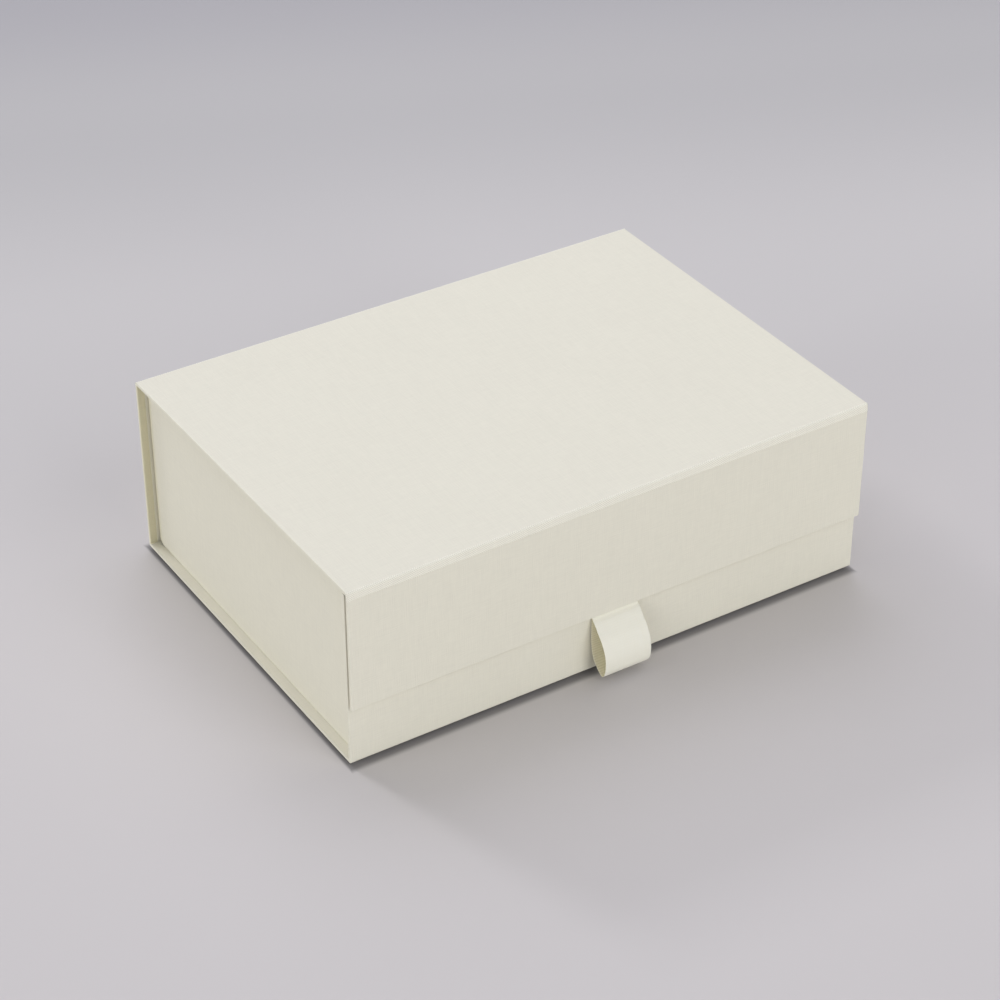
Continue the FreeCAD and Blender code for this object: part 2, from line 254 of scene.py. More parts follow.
def thread_crossings(sketch: NodeSketch, place: object, pitch: object) -> Socket:
    """Raised dots in a square weave.

    Args:
        sketch: The tree.
        place: Where a point lies on its sheet.
        pitch: How far two dots lie apart: a number or an output.

    Returns:
        The dots' height, from -1 to 1.
    """
    axes = sketch.axes(place)
    waves = []
    for name in ("X", "Y"):
        turn = sketch.product(sketch.math("DIVIDE", axes[name], pitch), math.tau)
        waves.append(sketch.math("SINE", turn))
    return sketch.product(*waves)


class Finish:
    """A material that is made once and given to every piece that carries it."""

    name: str

    def nodes(self, sketch: NodeSketch) -> Node:
        """Builds the shader in its material's tree and gives back its last node."""
        raise NotImplementedError

    def toned(self, sketch: NodeSketch, colour: Socket) -> Socket:
        """The colour that goes to the shader, which a finish that changes over its piece makes anew."""
        return colour

    def material(self) -> bpy.types.Material:
        """Makes the finish's material on its first use.

        Returns:
            The material.
        """
        made = bpy.data.materials.get(self.name)
        if made is None:
            made = bpy.data.materials.new(self.name)
            made.use_nodes = True
            sketch = NodeSketch(made.node_tree)
            surface = self.nodes(sketch)
            sketch.add("ShaderNodeOutputMaterial", {"Surface": surface.outputs[0]})
            LOG.info("finish %s", self.name)
        return made


@dataclass(frozen=True)
class LinenPaper(Finish):
    """Ivory paper pressed with a fine linen, each thread a little uneven."""

    name: str
    run: ThreadRun
    colour: Colour = COVER_COLOUR
    thread_pitch: float = 0.95 * MM
    thread_relief: float = 0.02 * MM
    thread_shade: float = 0.24
    thread_height: float = 0.5
    slub_width: float = 0.7 * MM
    slub_length: float = 7.0 * MM
    slub_shade: float = 1.2
    slub_height: float = 1.4
    wander: float = 0.3 * MM
    patch_size: float = 5.0 * MM
    patch_step: Pair = (0.45, 0.7)
    fibre_size: float = 0.2 * MM
    fibre_height: float = 0.5
    cloud_size: float = 30 * MM
    cloud_shade: Pair = (0.3, 0.7)
    shade_depth: float = 0.03
    roughness: Pair = (0.60, 0.72)
    gloss: float = 0.3

    def threads(self, sketch: NodeSketch, place: object) -> tuple[Socket, Socket]:
        """The two sets of pressed threads.

        Args:
            sketch: The material's tree.
            place: Where a point lies on its sheet.

        Returns:
            The threads' height and the slubs' height, each from about -1 to 1.
        """
        drift = sketch.math("SUBTRACT", sketch.noise(place, 2 * self.patch_size, 1.0), 0.5)
        drift = sketch.product(drift, self.wander * 2)
        axes = sketch.axes(place)
        heights = []
        slubs = []
        stretch = self.slub_width / self.slub_length
        for seed, across, squeeze in ((1.0, axes["X"], (1, stretch, 1)), (2.0, axes["Y"], (stretch, 1, 1))):
            slub = sketch.noise(sketch.stretched(place, squeeze), self.slub_width, 2.0, seed)
            slubs.append(sketch.math("SUBTRACT", slub, 0.5))
            turn = sketch.product(sketch.total(across, drift), math.tau / self.thread_pitch)
            patch = sketch.smooth(sketch.noise(place, self.patch_size, 1.0, seed + 10), *self.patch_step)
            heights.append(sketch.product(sketch.math("SINE", turn), patch))
        return sketch.total(*heights), sketch.total(*slubs)

    def dotted(self, sketch: NodeSketch, place: object, shade: Socket) -> Socket:
        """The shade, from 0 for dark to 1 for pale, to which a creased sheet adds painted highlights."""
        return shade

    def nodes(self, sketch: NodeSketch) -> Node:
        """Paper colour, pressed relief and a dry sheen."""
        place = sheet_place(sketch, self.run)
        thread, slub = self.threads(sketch, place)
        fibre = sketch.noise(place, self.fibre_size, 3.0, 3.0)
        cloud = sketch.noise(place, self.cloud_size, 2.0, 4.0)
        shade = sketch.total(
            sketch.product(thread, self.thread_shade),
            sketch.product(slub, self.slub_shade),
            sketch.between(cloud, self.cloud_shade),
        )
        dark = shaded(self.colour, 1 - self.shade_depth)
        pale = shaded(self.colour, 1 + self.shade_depth)
        colour = sketch.mixed(self.dotted(sketch, place, shade), dark, pale)
        height = sketch.total(
            sketch.product(thread, self.thread_height),
            sketch.product(slub, self.slub_height),
            sketch.product(fibre, self.fibre_height),
        )
        return sketch.surface(
            self.toned(sketch, colour),
            sketch.between(fibre, self.roughness),
            {"Specular IOR Level": self.gloss, "Normal": sketch.bump(height, self.thread_relief)},
        )


@dataclass(frozen=True)
class CreasedPaper(LinenPaper):
    """The same paper over a fold, paler and with pale dots where its threads cross: painted highlights of the
    stretched linen catching the light.
    """

    # A paler colour than the cover's: painted light on the fold.
    colour: Colour = srgb(233, 230, 213)
    shade_depth: float = 0.13
    thread_relief: float = 0.03 * MM
    eased: Pair = (0.35, 0.65)
    dot_pitch: float = 0.9 * MM
    dot_highlight: float = 0.9
    dot_patch: float = 6.0 * MM
    dot_step: Pair = (0.35, 0.6)
    least_dots: float = 0.35

    def dotted(self, sketch: NodeSketch, place: object, shade: Socket) -> Socket:
        """A gentler linen with small pale dots painted where its threads cross, as painted highlights."""
        patch = sketch.noise(place, self.dot_patch, 1.0, 12.0)
        patch = sketch.smooth(patch, *self.dot_step, self.least_dots)
        dot = sketch.product(thread_crossings(sketch, place, self.dot_pitch), self.dot_highlight)
        return sketch.math("MULTIPLY_ADD", dot, patch, sketch.between(shade, self.eased))


@dataclass(frozen=True)
class RecessShadedPaper(LinenPaper):
    """The same paper, darker and yellower towards a fold at the back: painted shade of the recess there."""

    unshaded_y: float = 0.0
    shaded_y: float = 0.0
    # The colour's multiplier where the painted shade is full.
    tone: Colour = (0.92, 0.90, 0.77)

    def toned(self, sketch: NodeSketch, colour: Socket) -> Socket:
        """Paper darkened and yellowed along Y by painted shade."""
        painted_shade_share = sketch.smooth(sketch.axes(sketch.place())["Y"], self.unshaded_y, self.shaded_y)
        return sketch.mixed(painted_shade_share, colour, sketch.stretched(colour, self.tone))


@dataclass(frozen=True)
class Greyboard(Finish):
    """Raw recycled board: grey, fibrous and flecked."""

    name: str = "greyboard"
    colour: Colour = srgb(151, 146, 136)
    fleck_colour: Colour = srgb(118, 112, 102)
    fleck_size: float = 1.1 * MM
    fleck_step: Pair = (0.58, 0.72)
    fibre_size: float = 0.35 * MM
    relief: float = 0.03 * MM
    roughness: Pair = (0.85, 0.95)

    def nodes(self, sketch: NodeSketch) -> Node:
        """Flecked board colour with a felted relief."""
        place = sketch.place()
        fleck = sketch.smooth(sketch.noise(place, self.fleck_size, 3.0, 5.0), *self.fleck_step)
        fibre = sketch.noise(place, self.fibre_size, 3.0, 6.0)
        colour = self.toned(sketch, sketch.mixed(fleck, self.colour, self.fleck_colour))
        roughness = sketch.between(fibre, self.roughness)
        return sketch.surface(colour, roughness, {"Normal": sketch.bump(fibre, self.relief)})


@dataclass(frozen=True)
class EdgedBoard(Greyboard):
    """The same board with paper glued over the edges that face a crease."""

    axis: str = "Y"
    bare: Pair = (0.0, 0.0)
    paper: Colour = COVER_COLOUR

    def toned(self, sketch: NodeSketch, colour: Socket) -> Socket:
        """Bare board between two places on one axis, and paper beyond them."""
        level = sketch.axes(sketch.place())[self.axis]
        from_middle = sketch.math("ABSOLUTE", sketch.math("SUBTRACT", level, sum(self.bare) / 2))
        covered = sketch.math("GREATER_THAN", from_middle, (self.bare[1] - self.bare[0]) / 2)
        return sketch.mixed(covered, colour, self.paper)


@dataclass(frozen=True)
class PlatedDisc(Finish):
    """Small metal disc, plated and faintly brushed."""

    name: str
    colour: Colour
    roughness: Pair
    brush_width: float = 0.12 * MM
    brush_length: float = 6 * MM
    relief: float = 0.004 * MM

    def nodes(self, sketch: NodeSketch) -> Node:
        """Metal with long fine scratches along X."""
        squeezed = sketch.stretched(sketch.place(), (self.brush_width / self.brush_length, 1, 1))
        scratch = sketch.noise(squeezed, self.brush_width, 2.0, 7.0)
        others = {"Metallic": 1.0, "Normal": sketch.bump(scratch, self.relief)}
        return sketch.surface(self.colour, sketch.between(scratch, self.roughness), others)


@dataclass(frozen=True)
class TapeFilm(Finish):
    """Clear double-sided tape that has clouded a little over its glue."""

    name: str = "tape_film"
    colour: Colour = srgb(228, 224, 208)
    clear_share: float = 0.94
    cloud_size: float = 4 * MM
    relief: float = 0.01 * MM
    roughness: Pair = (0.25, 0.45)

    def nodes(self, sketch: NodeSketch) -> Node:
        """Pale film with small bubbles."""
        cloud = sketch.noise(sketch.place(), self.cloud_size, 3.0, 8.0)
        colour = sketch.mixed(cloud, shaded(self.colour, self.clear_share), self.colour)
        roughness = sketch.between(cloud, self.roughness)
        return sketch.surface(colour, roughness, {"Normal": sketch.bump(cloud, self.relief)})


@dataclass(frozen=True)
class GrosgrainWeave(Finish):
    """Ribbon yarn: close warp threads that run over the ribs, with a soft sheen."""

    name: str = "ribbon_grosgrain"
    face_colour: Colour = srgb(240, 238, 222)
    # The back's colour is paler and warmer than the face's: painted light inside the loop.
    back_painted_light_colour: Colour = srgb(254, 249, 222)
    # The valleys' colour: painted shade between the ribs.
    valley_painted_shade_colour: Colour = srgb(232, 224, 190)
    warp_pitch: float = 0.26 * MM
    warp_relief: float = 0.012 * MM
    warp_shade: float = -0.03
    rib_pitch: float = 1.0 * MM
    streak_length: float = 7 * MM
    streak_shade: Pair = (-0.05, 0.15)
    valley_step: Pair = (-1.0, -0.4)
    valley_shade: float = 0.6
    face_valley_share: float = 0.1
    roughness: Pair = (0.60, 0.75)
    gloss: float = 0.3
    sheen: float = 0.15
    sheen_roughness: float = 0.4

    def nodes(self, sketch: NodeSketch) -> Node:
        """Warp threads, painted shade in each valley between two ribs, and a paler back that stands for
        painted light inside the loop.
        """
        place = sheet_place(sketch, ThreadRun.ON_SHEET)
        axes = sketch.axes(place)
        warp = sketch.math("SINE", sketch.product(axes["X"], math.tau / self.warp_pitch))
        rib = sketch.math("COSINE", sketch.product(axes["Y"], math.tau / self.rib_pitch))
        squeezed = sketch.stretched(place, (1, self.warp_pitch / self.streak_length, 1))
        streak = sketch.noise(squeezed, self.warp_pitch, 1.0, 9.0)
        behind = sketch.add("ShaderNodeAttribute", attribute_name=BACK_OF_RIBBON).outputs["Fac"]
        # Painted shade in each rib valley, deep on the back and faint on the face.
        depth = sketch.between(behind, (self.face_valley_share, 1.0))
        valley = sketch.product(sketch.smooth(rib, *self.valley_step, 1.0, 0.0), depth)
        shade = sketch.total(
            sketch.product(valley, self.valley_shade),
            sketch.between(streak, self.streak_shade),
            sketch.product(warp, self.warp_shade),
        )
        yarn = sketch.mixed(behind, self.face_colour, self.back_painted_light_colour)
        return sketch.surface(
            sketch.mixed(shade, yarn, self.valley_painted_shade_colour),
            sketch.between(streak, self.roughness),
            {
                "Normal": sketch.bump(sketch.total(warp, streak), self.warp_relief),
                "Specular IOR Level": self.gloss,
                "Sheen Weight": self.sheen,
                "Sheen Roughness": self.sheen_roughness,
            },
        )


COVER_ON_CASE = LinenPaper("cover_paper_case", ThreadRun.ROUND_CASE)
COVER_ON_CREASE = CreasedPaper("cover_paper_crease", ThreadRun.ON_SHEET)
# The back wrap towards its inner face and the side wraps towards their rear folds carry painted shade of the
# recesses there.
COVER_ON_BACK = RecessShadedPaper("cover_paper_back", ThreadRun.ROUND_CASE, unshaded_y=81.3 * MM, shaded_y=80.4 * MM)
COVER_ON_SIDE = RecessShadedPaper(
    "cover_paper_side", ThreadRun.ROUND_WALLS, unshaded_y=76.0 * MM, shaded_y=80.0 * MM, tone=(0.84, 0.82, 0.70)
)
LINING_ON_CASE = LinenPaper("lining_paper_case", ThreadRun.ROUND_CASE, thread_relief=0.005 * MM)
LINING_ON_WALLS = LinenPaper("lining_paper_walls", ThreadRun.ROUND_WALLS, thread_relief=0.005 * MM)
GREYBOARD = Greyboard()
RIBBON_WEAVE = GrosgrainWeave()
FINISH_BY_NAME = {
    "back_wrap": COVER_ON_BACK,
    "flap_magnets": PlatedDisc("magnet_nickel", srgb(196, 192, 184), (0.12, 0.32)),
    "front_steel_discs": PlatedDisc("disc_steel", srgb(170, 170, 168), (0.28, 0.48)),
    "ear_tapes": TapeFilm(),
}


class NodePattern(NodeSketch):
    """A Geometry Nodes tree that makes one piece from named sizes."""

    SOCKET_KINDS = {float: "NodeSocketFloat", int: "NodeSocketInt", bpy.types.Object: "NodeSocketObject"}

    def __init__(self, name: str, material: bpy.types.Material, sizes: dict[str, object]) -> None:
        """Makes the tree with its inputs.

        Args:
            name: The tree's name.
            material: The piece's material.
            sizes: The value of each input by its name.
        """
        super().__init__(bpy.data.node_groups.new(name, "GeometryNodeTree"))
        self.material = material
        self.values = {}
        self.tree.interface.new_socket("Geometry", in_out="OUTPUT", socket_type="NodeSocketGeometry")
        for label, value in sizes.items():
            kind = self.SOCKET_KINDS[type(value)]
            socket = self.tree.interface.new_socket(label, in_out="INPUT", socket_type=kind)
            self.values[socket.identifier] = value
        self.given = self.add("NodeGroupInput").outputs

    def close(self, geometry: object) -> None:
        """Ends the tree in real geometry with its material."""
        real = self.add("GeometryNodeRealizeInstances", {0: geometry}).outputs[0]
        dressed = self.add("GeometryNodeSetMaterial", {"Geometry": real, "Material": self.material})
        self.add("NodeGroupOutput", {0: dressed.outputs[0]})

    def piece(self, name: str) -> bpy.types.Object:
        """Runs the tree once and keeps its result as a plain mesh.

        Args:
            name: The piece's name.

        Returns:
            The piece, at the origin, with its place in its mesh.
        """
        host = put(name + "_host", bpy.data.meshes.new(name + "_host"))
        modifier = host.modifiers.new("nodes", "NODES")
        modifier.node_group = self.tree
        for identifier, value in self.values.items():
            modifier[identifier] = value
        depsgraph = bpy.context.evaluated_depsgraph_get()
        mesh = bpy.data.meshes.new_from_object(host.evaluated_get(depsgraph))
        host.modifiers.remove(modifier)
        bpy.data.objects.remove(host)
        mesh.name = name
        mesh.materials.clear()
        mesh.materials.append(self.material)
        for polygon in mesh.polygons:
            polygon.material_index = 0
            polygon.use_smooth = True
        LOG.info("piece %s has %d faces", name, len(mesh.polygons))
        return put(name, mesh)


@dataclass
class PressedCrease:
    """A bare strip of covering and lining paper, bent round a fold along the whole width."""

    name: str
    node: str
    facing: float
    fold_radius: float
    paper: float = 0.3 * MM
    across_step: float = 0.28 * MM
    along_step: float = 0.2 * MM
    relief: float = 0.06 * MM
    stipple: float = 0.5 * MM
    stipple_height: Pair = (-0.3, 0.3)
    dot_pitch: float = 0.9 * MM
    dot_height: float = 0.35
    flat_margin: float = 0.25 * MM
    weld: float = 0.001 * MM
    web: float = 0.15 * MM
    web_inset: float = 0.02 * MM
    web_steps: int = 10

    def __post_init__(self) -> None:
        """Works out the fold's section from the node that the strip stands for."""
        low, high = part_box(self.node)
        self.width = high.x - low.x
        inner_y, outer_y = (high.y, low.y) if self.facing < 0 else (low.y, high.y)
        self.centre = Vector((0, inner_y, high.z - self.fold_radius))
        reach = abs(outer_y - inner_y)
        drop = self.centre.z - low.z
        distance = math.hypot(reach, drop)
        lean = math.atan2(reach, drop) - math.asin(min(1.0, self.fold_radius / distance))
        self.turn = math.pi / 2 - lean
        self.band = math.sqrt(max(0.0, distance ** 2 - self.fold_radius ** 2))

    def section_point(self, angle: float, inset: float = 0.0) -> Vector:
        """A point of the fold's section, on its outer face or inside it; zero is straight up."""
        reach = self.fold_radius - inset
        return self.centre + Vector((0, self.facing * reach * math.sin(angle), reach * math.cos(angle)))

    def build(self) -> bpy.types.Object:
        """Bends a fine grid round the fold, presses the linen into it and gives it its thickness.

        Returns:
            The strip.
        """
        length = self.fold_radius * self.turn + self.band
        sizes = {
            "Width": self.width,
            "Length": length,
            "Across steps": round(self.width / self.across_step),
            "Along steps": round(length / self.along_step),
            "Fold radius": self.fold_radius,
            "Fold turn": self.turn,
            "Facing": self.facing,
            "Centre Y": self.centre.y,
            "Centre Z": self.centre.z,
            "Paper": self.paper,
            "Relief": self.relief,
            "Stipple": self.stipple,
            "Dot pitch": self.dot_pitch,
            "Flat margin": self.flat_margin,
            "Weld": self.weld,
        }
        sketch = NodePattern(self.name + "_nodes", COVER_ON_CREASE.material(), sizes)
        given = sketch.given
        sockets = {
            "Size X": given["Width"],
            "Size Y": given["Length"],
            "Vertices X": given["Across steps"],
            "Vertices Y": given["Along steps"],
        }
        grid = sketch.add("GeometryNodeMeshGrid", sockets).outputs["Mesh"]
        spot = sketch.axes(sketch.add("GeometryNodeInputPosition").outputs[0])
        along = sketch.math("MULTIPLY_ADD", given["Length"], 0.5, spot["Y"])
        place = sketch.vector(X=spot["X"], Y=along)
        marked = sketch.marked(grid, SHEET_UV, place, data_type="FLOAT2", domain="CORNER")
        pressed = self.pressed(sketch, place, along)
        folded = sketch.moved(marked, Position=self.folded(sketch, spot["X"], along, pressed))
        flipped = sketch.add("GeometryNodeFlipFaces", {"Mesh": folded}).outputs[0]
        outer, inner = (folded, flipped) if self.facing > 0 else (flipped, folded)
        sockets = {"Mesh": inner, "Offset Scale": given["Paper"], "Individual": False}
        backed = sketch.add("GeometryNodeExtrudeMesh", sockets, mode="FACES").outputs["Mesh"]
        joined = sketch.add("GeometryNodeJoinGeometry")
        for layer in (outer, backed):
            sketch.tree.links.new(layer, joined.inputs[0])
        sockets = {"Geometry": joined.outputs[0], "Distance": given["Weld"]}
        sketch.close(sketch.add("GeometryNodeMergeByDistance", sockets).outputs[0])
        strip = sketch.piece(self.name)
        self.tuck_ends(strip.data)
        return strip

    @staticmethod
    def folded(sketch: NodePattern, across: object, along: object, pressed: object) -> Socket:
        """Where a point of the flat sheet lies once it is bent round the fold and down its flat band.

        Args:
            sketch: The tree with its named inputs.
            across: How far the point lies from the sheet's middle.
            along: How far it lies from the lid.
            pressed: How far it is raised from the sheet.

        Returns:
            The point's place.
        """
        given = sketch.given
        angle = sketch.math("MINIMUM", sketch.math("DIVIDE", along, given["Fold radius"]), given["Fold turn"])
        bent = sketch.product(given["Fold radius"], given["Fold turn"])
        beyond = sketch.math("MAXIMUM", sketch.math("SUBTRACT", along, bent), 0.0)
        sine = sketch.math("SINE", angle)
        cosine = sketch.math("COSINE", angle)
        radius = sketch.total(given["Fold radius"], pressed)
        outward = sketch.total(sketch.product(radius, sine), sketch.product(beyond, cosine))
        upward = sketch.math("SUBTRACT", sketch.product(radius, cosine), sketch.product(beyond, sine))
        return sketch.vector(
            X=across,
            Y=sketch.math("MULTIPLY_ADD", outward, given["Facing"], given["Centre Y"]),
            Z=sketch.total(upward, given["Centre Z"]),
        )

    def pressed(self, sketch: NodePattern, place: object, along: object) -> Socket:
        """The stretched linen's height over the fold, which fades out at the strip's two long edges.

        Args:
            sketch: The tree with its named inputs.
            place: Where a point lies on the sheet.
            along: How far it lies from the lid.

        Returns:
            The height, in metres.
        """
        given = sketch.given
        stipple = sketch.noise(place, given["Stipple"], 1.0, 11.0)
        from_lid = sketch.smooth(along, 0.0, given["Flat margin"])
        to_foot = sketch.math("SUBTRACT", given["Length"], along)
        fade = sketch.product(from_lid, sketch.smooth(to_foot, 0.0, given["Flat margin"]))
        dots = thread_crossings(sketch, place, given["Dot pitch"])
        stippled = sketch.between(stipple, self.stipple_height)
        height = sketch.math("MULTIPLY_ADD", dots, self.dot_height, stippled)
        return sketch.product(height, given["Relief"], fade)

    def tuck_ends(self, mesh: bpy.types.Mesh) -> None:
        """Closes the hollow of the fold at its two ends with a tucked-in web of paper.

        Args:
            mesh: The strip's mesh, which takes the webs.
        """
        shares = [step / self.web_steps for step in range(self.web_steps + 1)]
        rim = [self.section_point(self.turn * share, self.paper / 2) for share in shares]
        down = Vector((0, self.facing * math.cos(self.turn), -math.sin(self.turn)))
        if self.band > 0:
            rim.append(rim[-1] + down * self.band)
        start = self.section_point(0)
        way = self.section_point(self.turn) - start
        levels = [start.z + (point - start).dot(way) / way.z for point in rim]
        back = [Vector((0, self.centre.y, max(level, rim[-1].z))) for level in levels]
        grown = bmesh.new()
        grown.from_mesh(mesh)
        uv_layer = grown.loops.layers.uv[SHEET_UV]
        for side in (-1, 1):
            faces = self.add_web(grown, rim, back, side)
            bmesh.ops.recalc_face_normals(grown, faces=faces)
            for face in faces:
                for loop in face.loops:
                    loop[uv_layer].uv = (loop.vert.co.y, loop.vert.co.z)
        grown.to_mesh(mesh)
        grown.free()

    def add_web(
        self, grown: bmesh.types.BMesh, rim: list[Vector], back: list[Vector], side: int
    ) -> list[bmesh.types.BMFace]:
        """Adds one thin closed web between two lines of points.

        Args:
            grown: The mesh that takes it.
            rim: The line along the fold.
            back: The line behind it, with as many points.
            side: -1 for the left end, 1 for the right.

        Returns:
            The web's faces.
        """
        outer_x = side * (self.width / 2 - self.web_inset)
        known = {}
        lines = []
        for x in (outer_x, outer_x - side * self.web):
            for line in (rim, back):
                spots = [(x, round(point.y, 7), round(point.z, 7)) for point in line]
                for spot in spots:
                    if spot not in known:
                        known[spot] = grown.verts.new(spot)
                lines.append([known[spot] for spot in spots])
        outer_rim, outer_back, inner_rim, inner_back = lines
        walls = (
            (outer_rim, outer_back),
            (inner_rim, inner_back),
            (outer_rim, inner_rim),
            (outer_back, inner_back),
        )
        rings = [(a[i], a[i + 1], b[i + 1], b[i]) for a, b in walls for i in range(len(rim) - 1)]
        rings.append((outer_rim[-1], outer_back[-1], inner_back[-1], inner_rim[-1]))
        rings = [list(dict.fromkeys(ring)) for ring in rings]
        return [grown.faces.new(ring) for ring in rings if len(ring) > 2]


@dataclass(frozen=True)
class RibbonRim:
    """The ribbon's cross-section, how far across it each point lies and which points are on its back."""

    outline: Socket
    across: Socket
    behind: Socket


@dataclass
class RibbonPull:
    """One grosgrain ribbon: two tails glued in the flap and a loop that hangs below its edge."""

    rib_pitch: float = 1.0 * MM
    rib_height: float = 0.06 * MM
    face_rib_share: float = 0.25
    steps_per_rib: int = 6
    round_steps: int = 56
    route_steps: int = 24
    edge_squareness: float = 0.35
    body_share: float = 0.48
    selvedge_share: float = 0.92
    selvedge_rib_share: float = 0.35
    bend_length: float = 4.0 * MM
    outer_strand_shares: tuple[Pair, ...] = (
        (0.02, 0.050), (0.20, 0.125), (0.40, 0.218), (0.75, 0.388), (0.96, 0.574), (1.00, 0.800),
        (0.91, 0.945), (0.78, 1.000), (0.63, 0.984),
    )
    inner_strand_shares: tuple[Pair, ...] = ((0.36, 0.890), (0.14, 0.764), (0.02, 0.582), (0.0, 0.363))

    def __post_init__(self) -> None:
        """Takes the ribbon's sizes from the nodes that it stands for."""
        loop_low, loop_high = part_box("ribbon_loop")
        tail_low, tail_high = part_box("ribbon_tails")
        joint = next(j for j in frame["joints"] if j["name"] == "ribbon_swing")
        self.axis = Vector(joint["pos_m"])
        self.width = loop_high.x - loop_low.x
        self.thickness = (tail_high.y - tail_low.y) / 2
        self.reach = self.axis.y - loop_low.y - self.thickness / 2
        self.drop = self.axis.z - loop_low.z - self.thickness / 2
        self.flap_edge = tail_low.z
        self.tail_top = tail_high.z

    def strand(self, shares: tuple[Pair, ...], behind: float) -> list[Vector]:
        """Points of one strand, from its shares of the loop's reach and drop."""
        return [self.axis + Vector((0, behind - f * self.reach, -d * self.drop)) for f, d in shares]

    def route(self) -> bpy.types.Object:
        """The ribbon's middle line as a curve, from the outer tail's end round to the inner one's.

        Returns:
            The curve's object.
        """
        half = self.thickness / 2
        tail = (self.tail_top, (self.flap_edge + self.tail_top) / 2, self.flap_edge)
        points = [Vector((0, self.axis.y - half, z)) for z in tail]
        points += self.strand(self.outer_strand_shares, 0.0)
        points += self.strand(self.inner_strand_shares, half)
        points += [Vector((0, self.axis.y + half, z)) for z in reversed(tail)]
        curve = bpy.data.curves.new("ribbon_route", "CURVE")
        curve.dimensions = "3D"
        curve.resolution_u = self.route_steps
        spline = curve.splines.new("BEZIER")
        spline.bezier_points.add(len(points) - 1)
        for knot, point in zip(spline.bezier_points, points):
            knot.co = point
            knot.handle_left_type = knot.handle_right_type = "AUTO"
        return put("ribbon_route", curve)

    def build(self) -> bpy.types.Object:
        """Weaves the ribbon along its route, rib by rib.

        Returns:
            The ribbon.
        """
        route = self.route()
        sizes = {
            "Route": route,
            "Width": self.width,
            "Thickness": self.thickness,
            "Rib pitch": self.rib_pitch,
            "Rib height": self.rib_height,
            "Face rib share": self.face_rib_share,
            "Ring step": self.rib_pitch / self.steps_per_rib,
            "Round steps": self.round_steps,
            "Edge squareness": self.edge_squareness,
            "Selvedge share": self.selvedge_share,
        }
        sketch = NodePattern("grosgrain_nodes", RIBBON_WEAVE.material(), sizes)
        given = sketch.given
        line = sketch.add("GeometryNodeObjectInfo", {"Object": given["Route"]}, transform_space="ORIGINAL")
        sockets = {"Curve": line.outputs["Geometry"], "Length": given["Ring step"]}
        stepped = sketch.add("GeometryNodeResampleCurve", sockets, mode="LENGTH").outputs[0]
        sockets = {"Curve": stepped, "Normal": (1.0, 0.0, 0.0)}
        level = sketch.add("GeometryNodeSetCurveNormal", sockets, mode="FREE").outputs[0]
        along_line = sketch.add("GeometryNodeCaptureAttribute", {"Geometry": level}, domain="POINT")
        along_line.capture_items.new("FLOAT", "Along")
        length = sketch.add("GeometryNodeSplineParameter").outputs["Length"]
        sketch.tree.links.new(length, along_line.inputs["Along"])
        along = along_line.outputs["Along"]
        rim = self.rim(sketch)
        sockets = {"Curve": along_line.outputs["Geometry"], "Profile Curve": rim.outline, "Fill Caps": True}
        swept = sketch.add("GeometryNodeCurveToMesh", sockets).outputs[0]
        normal = sketch.add("GeometryNodeInputNormal").outputs[0]
        ribbed = sketch.moved(swept, Offset=sketch.scaled(normal, self.lift(sketch, rim, along)))
        flat_place = sketch.vector(X=sketch.product(rim.across, sketch.product(given["Width"], 0.5)), Y=along)
        marked = sketch.marked(ribbed, SHEET_UV, flat_place, data_type="FLOAT2", domain="CORNER")
        marked = sketch.marked(marked, BACK_OF_RIBBON, rim.behind, data_type="FLOAT", domain="POINT")
        sketch.close(marked)
        ribbon = sketch.piece("ribbon_pull")
        bpy.data.objects.remove(route)
        return ribbon

    def lift(self, sketch: NodePattern, rim: RibbonRim, along: object) -> Socket:
        """How far the ribs raise a point of the ribbon, with less at its edges and on its face.

        Args:
            sketch: The tree with its named inputs.
            rim: The cross-section.
            along: How far the point lies along the ribbon.

        Returns:
            The rise, in metres.
        """
        given = sketch.given
        turn = sketch.product(sketch.math("DIVIDE", along, given["Rib pitch"]), math.tau)
        off_middle = sketch.math("ABSOLUTE", rim.across)
        in_body = sketch.smooth(off_middle, 1.0, given["Selvedge share"], self.selvedge_rib_share)
        sockets = {"Value": rim.behind, "To Min": given["Face rib share"], "To Max": 1.0}
        by_side = sketch.add("ShaderNodeMapRange", sockets).outputs["Result"]
        half_rib = sketch.product(given["Rib height"], 0.5)
        wave = sketch.product(sketch.math("COSINE", turn), in_body)
        return sketch.product(wave, sketch.product(by_side, half_rib))

    def rim(self, sketch: NodePattern) -> RibbonRim:
        """The ribbon's flat cross-section with rounded woven edges.

        Args:
            sketch: The tree with its named inputs.

        Returns:
            The section, with what its points carry.
        """
        given = sketch.given
        sockets = {"Resolution": given["Round steps"], "Radius": 1.0}
        circle = sketch.add("GeometryNodeCurvePrimitiveCircle", sockets, mode="RADIUS").outputs["Curve"]
        spot = sketch.axes(sketch.add("GeometryNodeInputPosition").outputs[0])
        height = sketch.math("POWER", sketch.math("ABSOLUTE", spot["Y"]), given["Edge squareness"])
        side = sketch.math("SIGN", spot["Y"])
        held = sketch.add("GeometryNodeCaptureAttribute", {"Geometry": circle}, domain="POINT")
        carried = {"Across": spot["X"], "Behind": sketch.math("LESS_THAN", spot["Y"], 0.0)}
        for name, value in carried.items():
            held.capture_items.new("FLOAT", name)
            sketch.tree.links.new(value, held.inputs[name])
        body = sketch.product(given["Thickness"], self.body_share)
        place = sketch.vector(
            X=sketch.product(spot["X"], sketch.product(given["Width"], 0.5)),
            Y=sketch.product(sketch.product(height, side), body),
        )
        shaped = sketch.moved(held.outputs["Geometry"], Position=place)
        return RibbonRim(shaped, held.outputs["Across"], held.outputs["Behind"])


